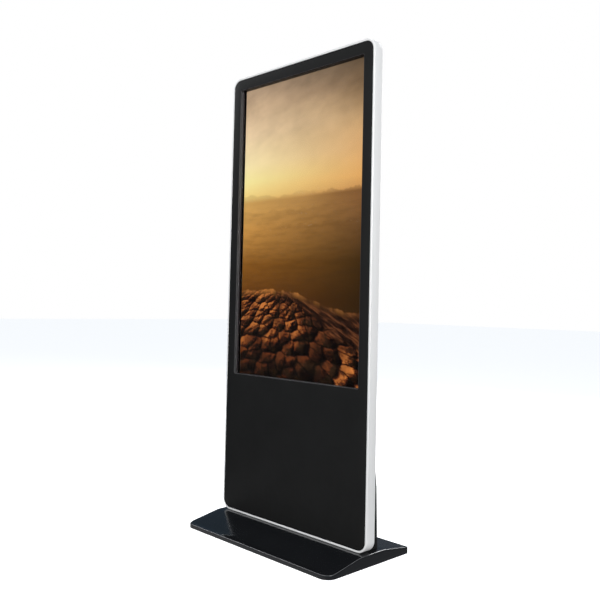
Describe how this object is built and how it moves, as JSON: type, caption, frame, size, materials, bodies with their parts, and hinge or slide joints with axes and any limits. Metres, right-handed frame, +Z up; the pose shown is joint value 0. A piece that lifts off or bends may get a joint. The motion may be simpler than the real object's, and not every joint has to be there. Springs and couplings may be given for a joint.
{
  "type": "touchscreen kiosk",
  "caption": "Slim floor-standing portrait touchscreen totem with recessed display, silver edge band, wedge foot and rear service door.",
  "frame": {"origin": "on the floor under the middle of the foot", "axes": "+X to the right of a person facing the screen, +Y towards the back, +Z up"},
  "size_m": [0.8, 0.434, 1.88],
  "materials": {
    "rubber": "matt",
    "steel": "satin",
    "gloss_black": "gloss",
    "zinc": "satin",
    "silver_band": "satin",
    "satin_black": "satin",
    "anodised_dark": "satin",
    "filter_plastic": "gloss",
    "circuit_board": "satin",
    "glass": "gloss",
    "display": "lit picture",
    "white_plastic": "matt",
    "cast_dark": "matt",
    "case_alloy": "satin",
    "brass": "satin",
    "black_plastic": "satin",
    "bright_metal": "polished",
    "speaker_cone": "matt",
    "lead_jacket": "satin",
    "speaker_wire": "satin"
  },
  "bodies": {
    "kiosk": {"base_feet": "rubber", "base_plate": "steel", "base_riser": "steel", "base_cover": "gloss_black", "base_screws": "zinc", "stand_posts": "steel", "post_bolts": "zinc", "side_frame": "silver_band", "frame_splice": "zinc", "front_fascia": "satin_black", "fascia_gasket": "rubber", "chassis_rails": "steel", "cross_bars": "steel", "rail_bolts": "zinc", "touch_frame": "anodised_dark", "touch_filter_strips": "filter_plastic", "touch_boards": "circuit_board", "cover_glass": "glass", "glass_gasket": "rubber", "glass_clips": "zinc", "lcd_bezel": "anodised_dark", "lcd_cell": "display", "lcd_diffuser": "white_plastic", "lcd_led_strips": "white_plastic", "lcd_tray": "steel", "controller_board": "circuit_board", "equipment_tray": "steel", "media_player": "cast_dark", "power_supply": "case_alloy", "amplifier_board": "circuit_board", "board_standoffs": "brass", "power_inlet": "black_plastic", "inlet_pins": "brass", "switch_housing": "black_plastic", "io_sockets": "zinc", "button_bezel": "bright_metal", "speaker_frames": "black_plastic", "speaker_cones": "speaker_cone", "speaker_magnets": "steel", "rear_cover": "satin_black", "cover_screws": "zinc", "stand_shroud": "satin_black", "hinge_leaves_fixed": "zinc", "hinge_pins": "zinc", "fan_housings": "black_plastic", "fan_guards": "bright_metal", "fan_screws": "zinc", "mains_lead": "lead_jacket", "player_lead": "lead_jacket", "video_lead": "lead_jacket", "touch_lead": "lead_jacket", "speaker_leads": "speaker_wire"},
    "door": {"service_door": "satin_black", "hinge_leaves_door": "zinc", "lock_body": "bright_metal"},
    "lock": {"lock_cam": "brass"},
    "rocker": {"power_rocker": "black_plastic"},
    "button": {"start_button": "bright_metal"},
    "fan_left": {"fan_rotor_left": "black_plastic"},
    "fan_right": {"fan_rotor_right": "black_plastic"}
  },
  "joints": [
    {"name": "door_hinge", "type": "hinge", "parent": "kiosk", "child": "door", "pos_m": [-0.2, 0.0545, 0.5], "axis": [0, 0, 1], "range_deg": [0, 110]},
    {"name": "lock_turn", "type": "hinge", "parent": "door", "child": "lock", "pos_m": [0.165, 0.0435, 0.5], "axis": [0, -1, 0], "range_deg": [0, 90]},
    {"name": "rocker_tip", "type": "hinge", "parent": "kiosk", "child": "rocker", "pos_m": [0.064, 0.0485, 0.358], "axis": [-1, 0, 0], "range_deg": [0, 18]},
    {"name": "button_press", "type": "slide", "parent": "kiosk", "child": "button", "axis": [0, -1, 0], "range_m": [0, 0.0025], "stiffness_N_per_m": 400},
    {"name": "fan_spin_left", "type": "hinge", "parent": "kiosk", "child": "fan_left", "pos_m": [-0.12, 0.042, 1.76], "axis": [0, 1, 0], "continuous": true},
    {"name": "fan_spin_right", "type": "hinge", "parent": "kiosk", "child": "fan_right", "pos_m": [0.12, 0.042, 1.76], "axis": [0, 1, 0], "continuous": true}
  ]
}
